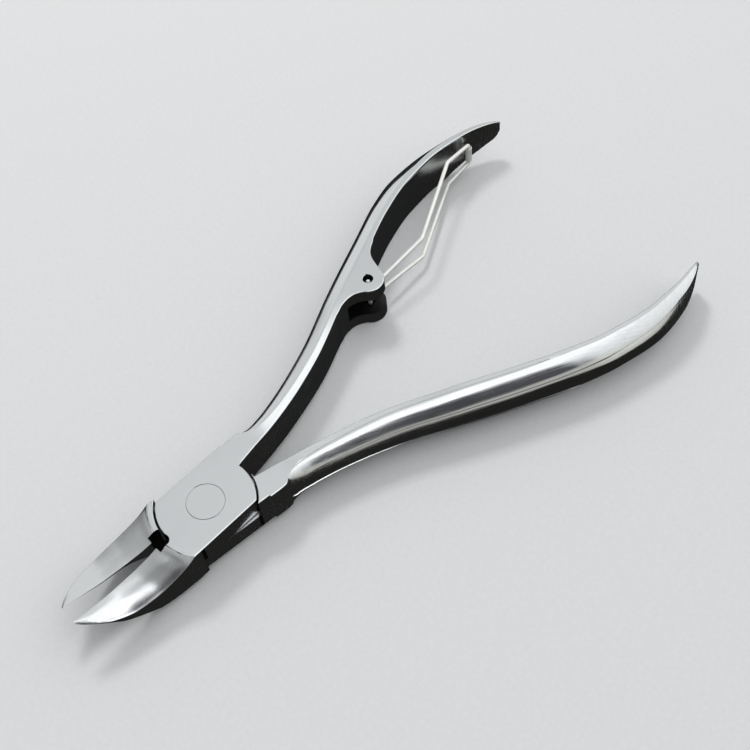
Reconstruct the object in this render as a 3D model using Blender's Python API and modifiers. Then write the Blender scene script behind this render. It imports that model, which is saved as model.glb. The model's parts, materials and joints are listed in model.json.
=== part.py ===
"""Plier-type nail clipper with bow handles, a lap joint and a hinged wire spring frame.

The pivot axis is the world Z axis, the jaws point along -X and the handles along +X.
Z is 0 at the underside of the head. All driving dimensions are in millimetres.
"""

from math import cos, pi, radians, sin, sqrt

import bmesh
import bpy
from mathutils import Vector

MM = 0.001

# Head and pivot
HEAD_THICKNESS = 8.0
HEAD_HALF_WIDTH = 6.25
MID_Z = HEAD_THICKNESS / 2
LAP_GAP = 0.3
PLATE_RADIUS = 8.65
SHOULDER_RADIUS = 8.95
RELIEF_RADIUS = 11.12
REST_HALF_OPENING = 3.3
RIVET_HEAD_RADIUS = 3.33
RIVET_HEAD_DEPTH = 1.2
RIVET_SHANK_RADIUS = 2.6
BORE_CLEARANCE = 0.1
EDGE_GAP = 0.03
KEYHOLE_BACK = -8.45
KEYHOLE_FRONT = -11.1
KEYHOLE_DEPTH = 1.1

# Handle: x from the pivot, then the value there
INNER_LINE = {
    "spring": (
        (9, 1.0), (20, 2.8), (32, 6.1), (44, 11.2), (56, 16.2),
        (66, 20.3), (74, 22.4), (82, 23.1), (90, 22.25), (95, 21.15), (98.9, 20.0),
    ),
    "plain": (
        (9, 1.6), (20, 3.1), (32, 5.7), (44, 10.2), (56, 14.9),
        (66, 18.5), (74, 20.7), (84, 21.9), (91, 21.4), (98.9, 19.6),
    ),
}
FLAT_WIDTH = (
    (9, 5.0), (12.5, 4.3), (14, 2.6), (17.5, 1.4), (22, 1.2),
    (60, 1.1), (72, 1.0), (80, 0.8), (88, 0.55), (98.9, 0.35),
)
BULGE = (
    (9, 0.0), (12.5, 0.05), (14, 1.5), (17.5, 2.7), (24, 3.4), (36, 4.0), (50, 4.2),
    (66, 3.9), (74, 3.7), (82, 3.4), (90, 2.7), (95, 1.8), (98.9, 0.7),
)
ROUNDNESS = ((9, 2.0), (64, 2.0), (84, 1.5), (98.9, 1.4))
HALF_HEIGHT = (
    (9, 4.0), (22, 4.0), (36, 4.5), (50, 5.0), (80, 5.0),
    (88, 4.85), (92, 4.5), (94.5, 4.0), (96.8, 3.3), (98.1, 2.6), (98.9, 1.7),
)
INNER_HOLLOW = ((9, 0.0), (16, 0.0), (26, 0.25), (88, 0.25), (98.9, 0.05))
CORNER = 0.25

# Jaw: x from the pivot, then the value there
OUTER_Y = (
    (-28.6, -0.3), (-28.2, -0.8), (-27.3, -1.6), (-26, -2.6), (-24, -3.8),
    (-22, -4.55), (-20, -5.1), (-16, -5.7), (-12, -6.0), (-8, -6.25),
)
EDGE_Z = ((-28.6, 7.4), (-24.5, 6.85), (-20.5, 6.5), (-16, 6.7), (-12, 7.1), (-9.7, 7.9), (-8, 8.0))
OUTER_Z = (
    (-28.6, 7.1), (-26, 6.5), (-24, 5.8), (-20, 5.0),
    (-16, 5.2), (-12, 6.2), (-9.5, 7.4), (-8, 8.0),
)
BOTTOM_Z = (
    (-28.6, 6.5), (-27, 5.8), (-25, 4.9), (-22.8, 3.9), (-20, 2.7),
    (-18, 1.6), (-16, 0.5), (-13, 0.0), (-8, 0.0),
)
HOLLOW_SHARE = ((-28.6, 0.3), (-24, 0.5), (-16, 0.5), (-12.5, 0.35), (-11.2, 0.0), (-8, 0.0))

# Spring lug on the spring lever, and the wire frame hinged in it
LUG_CENTRE = (51.3, 11.5)
LUG_RADIUS = 3.1
LUG_HOLE_RADIUS = 0.95
LUG_SLOT_WIDTH = 4.2
LUG_SLOT_ANGLE = 22.9
LUG_SLOT_DEPTH = 0.6
LUG_SLOT_START = 45.2
LUG_SLOT_LENGTH = 14.0
LUG_SLOT_REACH = 9.0
WIRE_RADIUS = 0.4
WIRE_LEG_START = 1.2
WIRE_END_HEIGHT = 4.3
WIRE_KNEE = (66.2, 11.6, 2.72)
WIRE_SHOULDER = (83.6, 20.7, 3.26)
WIRE_CROSSBAR = (90.4, 21.1, 2.6)
WIRE_END_BEND_RADIUS = 0.55
WIRE_BEND_RADIUS = 1.6
WIRE_CORNER_RADIUS = 0.62
SLEEVE_INNER_RADIUS = 0.46
SLEEVE_OUTER_RADIUS = 0.68
SLEEVE_LENGTH = 3.6
SLEEVE_SLIT = 70.0
SLEEVE_SLIT_FACING = 115.0
SLEEVE_STEPS = 22

SIDE_POINTS = 9
ROUND_SEGMENTS = 96


def clear_scene():
    for old in list(bpy.data.objects):
        bpy.data.objects.remove(old, do_unlink=True)


def make_collection(name):
    collection = bpy.data.collections.new(name)
    bpy.context.scene.collection.children.link(collection)
    return collection


def make_material(name, colour, roughness, metallic):
    material = bpy.data.materials.new(name)
    material.use_nodes = True
    shader = material.node_tree.nodes["Principled BSDF"]
    shader.inputs["Base Color"].default_value = (*colour, 1.0)
    shader.inputs["Roughness"].default_value = roughness
    shader.inputs["Metallic"].default_value = metallic
    return material


def blend_along(table, x):
    """Value at x on a smooth line through the table that never overshoots its points."""
    if x <= table[0][0]:
        return table[0][1]
    if x >= table[-1][0]:
        return table[-1][1]
    spans = [b[0] - a[0] for a, b in zip(table, table[1:])]
    rises = [(b[1] - a[1]) / s for a, b, s in zip(table, table[1:], spans)]
    i = max(k for k in range(len(spans)) if table[k][0] <= x)

    def tangent(k):
        if k == 0:
            return rises[0]
        if k == len(spans):
            return rises[-1]
        if rises[k - 1] * rises[k] <= 0:
            return 0.0
        return 2 * rises[k - 1] * rises[k] / (rises[k - 1] + rises[k])

    t = (x - table[i][0]) / spans[i]
    start = table[i][1] * (1 + 2 * t) * (1 - t) ** 2 + spans[i] * tangent(i) * t * (1 - t) ** 2
    end = table[i + 1][1] * t * t * (3 - 2 * t) + spans[i] * tangent(i + 1) * t * t * (t - 1)
    return start + end


def body_section(x, inner, flat, bulge, roundness, half_height, hollow):
    """Head or handle section: flat top and bottom, a hollow inner side and a bulging outer side.

    The outer side is a half ellipse where roundness is 2, and comes to a soft ridge below that.
    """
    top = MID_Z + half_height
    low = MID_Z - half_height
    outer = inner + flat
    points = [(inner + CORNER + (flat - CORNER) * k / 4, top) for k in range(5)]
    for k in range(1, SIDE_POINTS + 1):
        rise = sin(pi / 2 - pi * k / (SIDE_POINTS + 1))
        out = (1 - abs(rise) ** roundness) ** (1 / roundness)
        points.append((outer + bulge * out, MID_Z + half_height * rise))
    points += [(inner + CORNER + (flat - CORNER) * k / 2, low) for k in (2, 1, 0)]
    for k in range(5):
        share = k / 4
        z = low + CORNER + (top - low - 2 * CORNER) * share
        points.append((inner + hollow * 4 * share * (1 - share), z))
    return [(x, y, z) for y, z in points]


def jaw_section(x):
    """Jaw section: crowned top down to the outer side, cutting edge at y 0 and a hollow back."""
    outer = blend_along(OUTER_Y, x)
    edge_z = blend_along(EDGE_Z, x)
    outer_z = blend_along(OUTER_Z, x)
    low = blend_along(BOTTOM_Z, x)
    corner = min(CORNER, -0.3 * outer)
    crown = 0.05 * -outer
    hollow = blend_along(HOLLOW_SHARE, x) * -outer
    points = []
    for k in range(5):
        share = k / 4
        y = (outer + corner) * (1 - share) - EDGE_GAP
        z = outer_z + (edge_z - outer_z) * share + crown * 4 * share * (1 - share)
        points.append((y, z))
    for k in range(1, SIDE_POINTS + 1):
        share = k / (SIDE_POINTS + 1)
        back = max(0.0, (share - 0.08) / 0.92) ** 0.7
        points.append((-EDGE_GAP - hollow * back, edge_z + (low - edge_z) * share))
    start = -EDGE_GAP - hollow
    stop = outer + corner
    points += [(start + (stop - start) * k / 2, low) for k in range(3)]
    for k in range(5):
        points.append((outer, low + corner + (outer_z - low - 2 * corner) * k / 4))
    return [(x, y, z) for y, z in points]


def lug_outline():
    """Points (x, y) of the inner side where the spring lug stands out of the handle."""
    cx, cy = LUG_CENTRE
    points = [(42.4, 10.4), (44.0, 10.95), (45.6, 11.1), (46.8, 10.9), (47.7, 10.5)]
    for angle in (212, 228, 244, 260, 276, 292, 308, 324, 340, 352):
        points.append((cx + LUG_RADIUS * cos(radians(angle)), cy + LUG_RADIUS * sin(radians(angle))))
    points += [(54.7, 12.4), (55.2, 13.9), (55.9, 15.2), (57.0, 16.2), (58.4, 17.0)]
    return points


def handle_stations(kind):
    """(x, inner y) pairs along the handle, with the lug's outline on the spring lever."""
    xs = [9.0, 10.5, 12.0, 13.0, 14.0, 15.2, 17.0, 19.0, 22.0, 25.0, 28.0, 31.0, 34.0, 37.0, 40.0]
    xs += [44.0, 48.0, 52.0, 56.0, 60.0, 63.0, 66.0, 69.0, 72.0, 75.0, 78.0, 81.0, 84.0, 87.0]
    xs += [90.0, 92.5, 94.5, 96.2, 97.4, 98.3, 98.9]
    stations = [(x, blend_along(INNER_LINE[kind], x)) for x in xs]
    if kind == "spring":
        lug = lug_outline()
        stations = [s for s in stations if not lug[0][0] - 1 < s[0] < lug[-1][0] + 1] + lug
    return sorted(stations)


def lever_sections(kind):
    sections = [jaw_section(x) for x in (-28.6, -28.2, -27.6, -26.8, -25.8, -24.6, -23.2, -21.6)]
    sections += [jaw_section(x) for x in (-20, -18.4, -16.8, -15.2, -13.6, -12.2, -11.3, -10.4, -9.6, -8.95)]
    for x in (-8.7, -4.0, 0.0, 4.0, 8.7):
        sections.append(body_section(x, -HEAD_HALF_WIDTH, 2 * HEAD_HALF_WIDTH, 0.0, 2.0, MID_Z, 0.0))
    for x, inner in handle_stations(kind):
        plain_inner = blend_along(INNER_LINE[kind], x)
        flat = blend_along(FLAT_WIDTH, x) + plain_inner - inner
        bulge = blend_along(BULGE, x)
        roundness = blend_along(ROUNDNESS, x)
        half_height = blend_along(HALF_HEIGHT, x)
        hollow = blend_along(INNER_HOLLOW, x) if inner == plain_inner else 0.0
        sections.append(body_section(x, inner, flat, bulge, roundness, half_height, hollow))
    return sections


def link_mesh(name, bm, collection):
    mesh = bpy.data.meshes.new(name)
    bm.to_mesh(mesh)
    bm.free()
    made = bpy.data.objects.new(name, mesh)
    collection.objects.link(made)
    return made


def loft(name, sections, side, collection):
    """Closed solid through the sections. side is 1, or -1 for its mirror image in Y."""
    bm = bmesh.new()
    rings = [[bm.verts.new((x * MM, side * y * MM, z * MM)) for x, y, z in s] for s in sections]
    for ring, after in zip(rings, rings[1:]):
        for k in range(len(ring)):
            nxt = (k + 1) % len(ring)
            bm.faces.new((ring[k], ring[nxt], after[nxt], after[k]))
    bm.faces.new(rings[0])
    bm.faces.new(rings[-1])
    bmesh.ops.recalc_face_normals(bm, faces=bm.faces)
    return link_mesh(name, bm, collection)


def prism(name, outline, low, high, collection):
    """Straight-walled solid on a closed outline of (x, y) points, from a filled 2D curve."""
    curve = bpy.data.curves.new(name, "CURVE")
    curve.dimensions = "2D"
    curve.fill_mode = "BOTH"
    curve.extrude = (high - low) / 2 * MM
    spline = curve.splines.new("POLY")
    spline.points.add(len(outline) - 1)
    for point, (x, y) in zip(spline.points, outline):
        point.co = (x * MM, y * MM, 0.0, 1.0)
    spline.use_cyclic_u = True
    guide = bpy.data.objects.new(name + "_curve", curve)
    collection.objects.link(guide)
    bpy.context.view_layer.update()
    graph = bpy.context.evaluated_depsgraph_get()
    mesh = bpy.data.meshes.new_from_object(guide.evaluated_get(graph))
    bpy.data.objects.remove(guide)
    bm = bmesh.new()
    bm.from_mesh(mesh)
    bmesh.ops.remove_doubles(bm, verts=bm.verts, dist=1e-6)
    bmesh.ops.recalc_face_normals(bm, faces=bm.faces)
    bmesh.ops.translate(bm, verts=bm.verts, vec=(0, 0, (low + high) / 2 * MM))
    bpy.data.meshes.remove(mesh)
    return link_mesh(name, bm, collection)


def cylinder(name, radius, low, high, collection, centre=(0.0, 0.0), segments=ROUND_SEGMENTS):
    bm = bmesh.new()
    bmesh.ops.create_cone(
        bm,
        cap_ends=True,
        segments=segments,
        radius1=radius * MM,
        radius2=radius * MM,
        depth=(high - low) * MM,
    )
    bmesh.ops.translate(bm, verts=bm.verts, vec=(centre[0] * MM, centre[1] * MM, (low + high) / 2 * MM))
    return link_mesh(name, bm, collection)


def ring_sector(start, stop, steps=40):
    """Outline between the plate's edge and the relief radius, from one angle to another."""
    angles = [radians(start + (stop - start) * k / steps) for k in range(steps + 1)]
    outline = [(PLATE_RADIUS * cos(a), PLATE_RADIUS * sin(a)) for a in angles]
    outline += [(RELIEF_RADIUS * cos(a), RELIEF_RADIUS * sin(a)) for a in reversed(angles)]
    return outline


def slot_outline():
    """Strip just inside the handle's inner side, where the lug is split into two ears."""
    run = (cos(radians(LUG_SLOT_ANGLE)), sin(radians(LUG_SLOT_ANGLE)))
    start = (LUG_SLOT_START, blend_along(INNER_LINE["spring"], LUG_SLOT_START) - LUG_SLOT_DEPTH)
    end = (start[0] + run[0] * LUG_SLOT_LENGTH, start[1] + run[1] * LUG_SLOT_LENGTH)
    across = (run[1] * LUG_SLOT_REACH, -run[0] * LUG_SLOT_REACH)
    corners = [start, end]
    return corners + [(x + across[0], y + across[1]) for x, y in reversed(corners)]


def mirrored(outline, side):
    return [(x, side * y) for x, y in outline][:: side]


def cut(piece, cutter):
    cutter.parent = piece
    cutter.hide_render = True
    cutter.display_type = "WIRE"
    modifier = piece.modifiers.new(cutter.name, "BOOLEAN")
    modifier.operation = "DIFFERENCE"
    modifier.solver = "EXACT"
    modifier.object = cutter


def shade_round(piece, angle=35.0):
    piece.data.shade_smooth()
    piece.data.set_sharp_from_angle(angle=radians(angle))


def make_lever(name, kind, side, material, parts, cutters):
    """One forged lever, modelled with its jaws shut and turned about the pivot to its place."""
    lever = loft(name, lever_sections(kind), side, parts)
    lever.data.materials.append(material)
    upper = side > 0
    lap_low, lap_high = (-3.0, MID_Z + LAP_GAP / 2) if upper else (MID_Z - LAP_GAP / 2, 12.0)
    cut(lever, cylinder(name + "_lap", SHOULDER_RADIUS, lap_low, lap_high, cutters))
    jaw_side = mirrored(ring_sector(126.0, 183.3), side)
    cut(lever, prism(name + "_jaw_relief", jaw_side, -3.0, 12.0, cutters))
    handle_side = mirrored(ring_sector(-52.0, 5.9), side)
    cut(lever, prism(name + "_handle_relief", handle_side, -3.0, 12.0, cutters))
    keyhole = [
        (KEYHOLE_FRONT, -KEYHOLE_DEPTH),
        (KEYHOLE_BACK, -KEYHOLE_DEPTH),
        (KEYHOLE_BACK, KEYHOLE_DEPTH),
        (KEYHOLE_FRONT, KEYHOLE_DEPTH),
    ]
    cut(lever, prism(name + "_keyhole", mirrored(keyhole, side), -4.0, 13.0, cutters))
    cut(lever, cylinder(name + "_bore", RIVET_SHANK_RADIUS + BORE_CLEARANCE, -3.5, 12.5, cutters))
    seat_low = HEAD_THICKNESS - RIVET_HEAD_DEPTH - BORE_CLEARANCE if upper else -3.2
    seat_high = 12.2 if upper else RIVET_HEAD_DEPTH + BORE_CLEARANCE
    cut(lever, cylinder(name + "_seat", RIVET_HEAD_RADIUS + BORE_CLEARANCE, seat_low, seat_high, cutters))
    if kind == "spring":
        half = LUG_SLOT_WIDTH / 2
        cut(lever, prism(name + "_slot", slot_outline(), MID_Z - half, MID_Z + half, cutters))
        cut(lever, cylinder(name + "_lug_hole", LUG_HOLE_RADIUS, -3.0, 12.0, cutters, LUG_CENTRE, 32))
    lever.rotation_euler = (0.0, 0.0, side * radians(REST_HALF_OPENING))
    shade_round(lever)
    return lever


def make_rivet(material, parts):
    """Turned rivet: a shank between two flush heads."""
    head = RIVET_HEAD_RADIUS
    shank = RIVET_SHANK_RADIUS
    profile = [
        (0.0, HEAD_THICKNESS),
        (head, HEAD_THICKNESS),
        (head, HEAD_THICKNESS - RIVET_HEAD_DEPTH),
        (shank, HEAD_THICKNESS - RIVET_HEAD_DEPTH),
        (shank, RIVET_HEAD_DEPTH),
        (head, RIVET_HEAD_DEPTH),
        (head, 0.0),
        (0.0, 0.0),
    ]
    bm = bmesh.new()
    verts = [bm.verts.new((x * MM, 0.0, z * MM)) for x, z in profile]
    for a, b in zip(verts, verts[1:]):
        bm.edges.new((a, b))
    rivet = link_mesh("pivot_rivet", bm, parts)
    rivet.data.materials.append(material)
    turn = rivet.modifiers.new("turn", "SCREW")
    turn.steps = ROUND_SEGMENTS
    turn.render_steps = ROUND_SEGMENTS
    turn.use_merge_vertices = True
    turn.merge_threshold = 0.00001
    return rivet


def rounded_path(corners, radii, steps=6):
    """The path through the corners with each inner corner turned at its own radius."""
    path = [corners[0]]
    for before, corner, after, radius in zip(corners, corners[1:], corners[2:], radii):
        back = (before - corner).normalized()
        ahead = (after - corner).normalized()
        half = back.angle(ahead) / 2
        reach = radius / max(0.001, abs(sin(half) / cos(half)))
        start = corner + back * reach
        end = corner + ahead * reach
        middle = (back + ahead).normalized()
        centre = corner + middle * sqrt(radius**2 + reach**2)
        for k in range(steps + 1):
            spoke = (start - centre).lerp(end - centre, k / steps).normalized()
            path.append(centre + spoke * radius)
    path.append(corners[-1])
    return path


def make_wire(hinge, material, parts):
    """Bent wire frame. Its ends stand in the lug's ears, and its far end is a crossbar."""
    route = (WIRE_KNEE, WIRE_SHOULDER, WIRE_CROSSBAR)
    from_hinge = [(x - LUG_CENTRE[0], y - LUG_CENTRE[1], z) for x, y, z in route]
    upper = [(0.0, 0.0, WIRE_END_HEIGHT), (0.0, 0.0, WIRE_LEG_START)] + from_hinge
    lower = [(x, y, -z) for x, y, z in reversed(upper)]
    corners = [Vector(p) for p in upper + lower]
    bends = [WIRE_END_BEND_RADIUS, WIRE_BEND_RADIUS, WIRE_BEND_RADIUS, WIRE_CORNER_RADIUS]
    path = rounded_path(corners, bends + bends[::-1])
    curve = bpy.data.curves.new("spring_wire", "CURVE")
    curve.dimensions = "3D"
    curve.bevel_depth = WIRE_RADIUS * MM
    curve.bevel_resolution = 2
    curve.use_fill_caps = True
    spline = curve.splines.new("POLY")
    spline.points.add(len(path) - 1)
    for point, place in zip(spline.points, path):
        point.co = (*(place * MM), 1.0)
    curve.materials.append(material)
    wire = bpy.data.objects.new("spring_wire", curve)
    parts.objects.link(wire)
    wire.parent = hinge
    return wire


def make_sleeve(hinge, material, parts):
    """Sheet sleeve rolled round the crossbar, open along one side."""
    half_slit = radians(SLEEVE_SLIT / 2)
    facing = radians(SLEEVE_SLIT_FACING)
    span = 2 * pi - 2 * half_slit
    angles = [facing + half_slit + span * k / SLEEVE_STEPS for k in range(SLEEVE_STEPS + 1)]
    outline = [(SLEEVE_OUTER_RADIUS * cos(a), SLEEVE_OUTER_RADIUS * sin(a)) for a in angles]
    outline += [(SLEEVE_INNER_RADIUS * cos(a), SLEEVE_INNER_RADIUS * sin(a)) for a in reversed(angles)]
    sleeve = prism("spring_sleeve", outline, -SLEEVE_LENGTH / 2, SLEEVE_LENGTH / 2, parts)
    sleeve.data.materials.append(material)
    sleeve.parent = hinge
    crossbar = (WIRE_CROSSBAR[0] - LUG_CENTRE[0], WIRE_CROSSBAR[1] - LUG_CENTRE[1])
    sleeve.location = (crossbar[0] * MM, crossbar[1] * MM, 0.0)
    shade_round(sleeve)
    return sleeve


def make_hinge(lever, parts):
    """Empty on the wire frame's hinge axis, at the middle of the lug."""
    hinge = bpy.data.objects.new("spring_hinge", None)
    parts.objects.link(hinge)
    hinge.empty_display_size = 0.005
    hinge.parent = lever
    hinge.location = (LUG_CENTRE[0] * MM, LUG_CENTRE[1] * MM, MID_Z * MM)
    return hinge


def build():
    clear_scene()
    parts = make_collection("nail_clipper")
    cutters = make_collection("cutters")
    forged = make_material("forged_steel", (0.62, 0.63, 0.64), 0.22, 1.0)
    forged_plain = make_material("forged_steel_plain_lever", (0.60, 0.61, 0.62), 0.20, 1.0)
    turned = make_material("rivet_steel", (0.60, 0.61, 0.61), 0.32, 1.0)
    drawn = make_material("spring_steel", (0.66, 0.66, 0.64), 0.26, 1.0)
    rolled = make_material("sleeve_steel", (0.64, 0.64, 0.62), 0.30, 1.0)
    spring_lever = make_lever("spring_lever", "spring", 1, forged, parts, cutters)
    make_lever("plain_lever", "plain", -1, forged_plain, parts, cutters)
    make_rivet(turned, parts)
    hinge = make_hinge(spring_lever, parts)
    make_wire(hinge, drawn, parts)
    make_sleeve(hinge, rolled, parts)


build()
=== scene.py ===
"""Looks of the plier-type nail clipper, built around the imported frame.

The tables and sizes of the clipper are in millimetres and in each lever's own axes: the pivot at
the origin, the jaws shut and pointing along -X, the handles along +X. The levers are then turned
about the pivot to their places at rest. The camera and the lamps are in metres.
"""

import json
from math import cos, pi, radians, sin, sqrt

import bmesh
import bpy
from mathutils import Matrix, Vector


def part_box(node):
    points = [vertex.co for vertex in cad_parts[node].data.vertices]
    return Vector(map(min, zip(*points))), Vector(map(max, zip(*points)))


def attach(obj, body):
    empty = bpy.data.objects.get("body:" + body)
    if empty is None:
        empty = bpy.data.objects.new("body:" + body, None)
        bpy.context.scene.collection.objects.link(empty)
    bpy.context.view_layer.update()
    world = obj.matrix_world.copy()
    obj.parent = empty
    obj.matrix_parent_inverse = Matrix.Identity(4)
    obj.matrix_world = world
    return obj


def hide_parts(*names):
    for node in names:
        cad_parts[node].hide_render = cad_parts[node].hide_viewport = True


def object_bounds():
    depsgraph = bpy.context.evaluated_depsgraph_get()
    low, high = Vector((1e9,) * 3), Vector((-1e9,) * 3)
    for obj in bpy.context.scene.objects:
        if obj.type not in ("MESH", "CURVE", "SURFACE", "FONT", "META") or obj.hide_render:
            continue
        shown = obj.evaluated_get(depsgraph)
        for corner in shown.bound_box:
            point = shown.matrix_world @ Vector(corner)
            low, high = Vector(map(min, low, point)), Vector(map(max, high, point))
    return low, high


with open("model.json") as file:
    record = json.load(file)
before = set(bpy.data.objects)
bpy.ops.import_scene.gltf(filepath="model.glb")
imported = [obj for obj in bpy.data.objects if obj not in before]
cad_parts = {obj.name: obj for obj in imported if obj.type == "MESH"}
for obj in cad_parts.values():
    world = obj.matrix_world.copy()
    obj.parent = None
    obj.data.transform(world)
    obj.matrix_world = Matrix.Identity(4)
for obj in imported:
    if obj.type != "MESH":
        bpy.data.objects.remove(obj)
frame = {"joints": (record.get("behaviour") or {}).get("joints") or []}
cad_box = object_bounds()

MM = 0.001
MERGE_DISTANCE = 1e-7
JOINTS = {joint["name"]: joint for joint in frame["joints"]}
RIVET_LOW, RIVET_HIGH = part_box("pivot_rivet")
HALF_OPENING = JOINTS["jaw_pivot"]["range_deg"][1] / 2
HEAD_TOP = RIVET_HIGH.z / MM
MID_Z = JOINTS["jaw_pivot"]["pos_m"][2] / MM
RIVET_RADIUS = (RIVET_HIGH.x - RIVET_LOW.x) / 2 / MM

# Head
HEAD_HALF_WIDTH = 6.25
LAP_GAP = 0.3
PLATE_RADIUS = 8.6
SHOULDER_RADIUS = 8.98
RELIEF_RADIUS = 11.12
JAW_ARC_RADIUS = 10.05
RIVET_SHANK_RADIUS = 2.6
RIVET_HEAD_DEPTH = 1.2
SEAT_CLEARANCE = 0.035
BORE_CLEARANCE = 0.1
EDGE_FLARE = 0.1
EDGE_ROUND = 0.2
RIM_BREAK = 0.05
RELIEF_SPANS = {"jaw": (126.0, 183.3), "handle": (-52.0, 5.9)}  # degrees about the pivot
CUT_PAST = 1.0  # how far a cutter reaches past the solid

# Handle: x from the pivot, then the value there. INNER_LINE is the y of the inner side, FLAT_WIDTH the
# width of the flat top, BULGE how far the outer side bows out and RIDGE how faceted that bow is. RECESS
# and LEDGE are the depths of the band ground along it, STEP and RIM_TILT lower the flat's outer and
# inner edges, and DEPTH_SHARE is how much of its full depth a tip keeps.
INNER_LINE = {
    "spring": (
        (9, 1.0), (20, 2.8), (32, 6.1), (44, 11.2), (56, 16.2),
        (66, 20.3), (74, 22.4), (82, 23.1), (90, 22.25), (95, 21.15), (98.9, 20.0),
    ),
    "plain": (
        (9, 1.6), (20, 3.1), (32, 5.7), (44, 10.2), (56, 14.9),
        (66, 18.5), (74, 20.7), (84, 21.9), (91, 21.4), (98.9, 19.6),
    ),
}
FLAT_WIDTH = (
    (9, 5.0), (12.3, 4.45), (13.3, 3.5), (14.6, 2.7), (16.2, 2.2), (18.5, 1.85), (22, 1.65),
    (34, 1.4), (60, 1.1), (72, 1.0), (80, 0.9), (88, 0.7), (95, 0.5), (98.9, 0.25),
)
FLAT_EXTRA = {
    "spring": ((9, 0.0), (66, 0.0), (78, 0.25), (88, 0.4), (95, 0.3), (98.9, 0.15)),
    "plain": ((9, 0.0), (98.9, 0.0)),
}
BULGE = (
    (9, 0.0), (12.3, 0.02), (13.0, 0.6), (14, 1.4), (17.5, 2.4), (24, 3.05), (36, 3.75),
    (50, 4.1), (66, 3.9), (74, 3.7), (82, 3.37), (90, 2.6), (95, 1.65), (98.9, 0.35),
)
RIDGE = ((9, 0.0), (60, 0.0), (84, 1.0), (98.9, 1.0))
RIDGE_HEIGHT = {
    "spring": ((9, 0.56), (58, 0.56), (84, 0.24), (98.9, 0.2)),
    "plain": ((9, 0.56), (70, 0.56), (80, 0.62), (88, 0.75), (95, 0.84), (98.9, 0.95)),
}
RIDGE_OUT = {"spring": 0.97, "plain": 0.62}
RECESS = ((9, 0.0), (16, 0.0), (24, 0.16), (70, 0.16), (84, 0.1), (95, 0.08), (98.9, 0.02))
LEDGE = ((9, 0.0), (12.3, 0.0), (13.5, 0.14), (60, 0.12), (72, 0.0), (98.9, 0.0))
RIM_TILT = ((9, 0.0), (12.5, 0.0), (17, 0.22), (30, 0.2), (42, 0.1), (48, 0.0), (98.9, 0.0))
STEP = ((9, 0.0), (14.5, 0.0), (19, 0.08), (56, 0.08), (66, 0.0), (98.9, 0.0))
STEP_WIDTH = 0.3
HALF_HEIGHT = {
    "spring": (
        (9, 4.0), (22, 4.0), (36, 4.5), (50, 5.0), (88, 4.98),
        (92, 4.8), (95, 4.4), (97.5, 3.8), (98.9, 3.2),
    ),
    "plain": (
        (9, 4.0), (22, 4.0), (36, 4.5), (50, 5.0), (80, 5.0),
        (88, 4.85), (92, 4.5), (95, 3.9), (97.5, 3.1), (98.9, 2.4),
    ),
}
DEPTH_SHARE = {
    "spring": (
        (9, 1.0), (84, 1.0), (88, 0.88), (92, 0.78),
        (95, 0.71), (97.5, 0.62), (98.3, 0.53), (98.9, 0.34),
    ),
    "plain": ((9, 1.0), (98.9, 1.0)),
}
INNER_HOLLOW = ((9, 0.0), (16, 0.0), (26, 0.25), (88, 0.25), (98.9, 0.05))
CREASE_ANGLE = 14.0
CREASE_SHARPNESS = 2.4
FACET_CROWN = 0.25
ROUND_FROM = 12.2
ROUND_TO = 13.0
HANDLE_END = 98.9
HANDLE_SPACING = ((9.0, 20.0, 0.2), (20.0, 80.0, 0.6), (80.0, 95.0, 0.5), (95.0, HANDLE_END, 0.2))

# Jaw: distance from the pivot, then the value there
OUTER_Y = (
    (0, 6.25), (8, 6.25), (12, 6.0), (16, 5.7), (20, 5.1), (22, 4.55),
    (24, 3.8), (26, 2.6), (27.3, 1.6), (28.2, 0.8), (28.6, 0.3),
)
EDGE_Z = {
    "spring": (
        (10.05, 8.0), (11.2, 7.4), (13.5, 6.85), (16.5, 6.55), (20.5, 6.5), (24.5, 6.85), (28.6, 7.4),
    ),
    "plain": (
        (8.9, 7.97), (9.2, 8.0), (9.8, 8.0), (10.05, 7.94), (10.35, 7.72),
        (11.6, 7.2), (13.5, 6.85), (16.5, 6.6), (20.5, 6.5), (24.5, 6.85), (28.6, 7.4),
    ),
}
OUTER_Z = {
    "spring": (
        (10.05, 8.0), (11.5, 7.0), (13.5, 5.95), (16, 5.25),
        (20, 5.0), (24, 5.8), (26, 6.5), (28.6, 7.1),
    ),
    "plain": (
        (8.9, 7.97), (9.2, 8.0), (9.8, 8.0), (10.05, 7.94), (10.35, 7.66),
        (12, 6.5), (13.5, 5.9), (16, 5.25), (20, 5.0), (24, 5.8), (26, 6.5), (28.6, 7.1),
    ),
}
BOTTOM_Z = (
    (8, 0.0), (13, 0.0), (16, 0.5), (18, 1.6), (20, 2.7),
    (22.5, 3.9), (24, 5.1), (25, 5.65), (26, 6.15), (27, 6.6), (28.6, 7.05),
)
HOLLOW_SHARE = ((8, 0.0), (11.2, 0.0), (12.5, 0.35), (16, 0.5), (24, 0.5), (28.6, 0.3))
HOLLOW_START = 0.08
HOLLOW_POWER = 0.7
CROWN_SHARE = {"spring": 0.1, "plain": 0.045}
CROWN_FADE = 3.0
JAW_CORNER = 0.16
EDGE_GAP = 0.03
ARC_FADES_INWARD = 4.0
ARC_FADES_OUTWARD = 18.0

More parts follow.
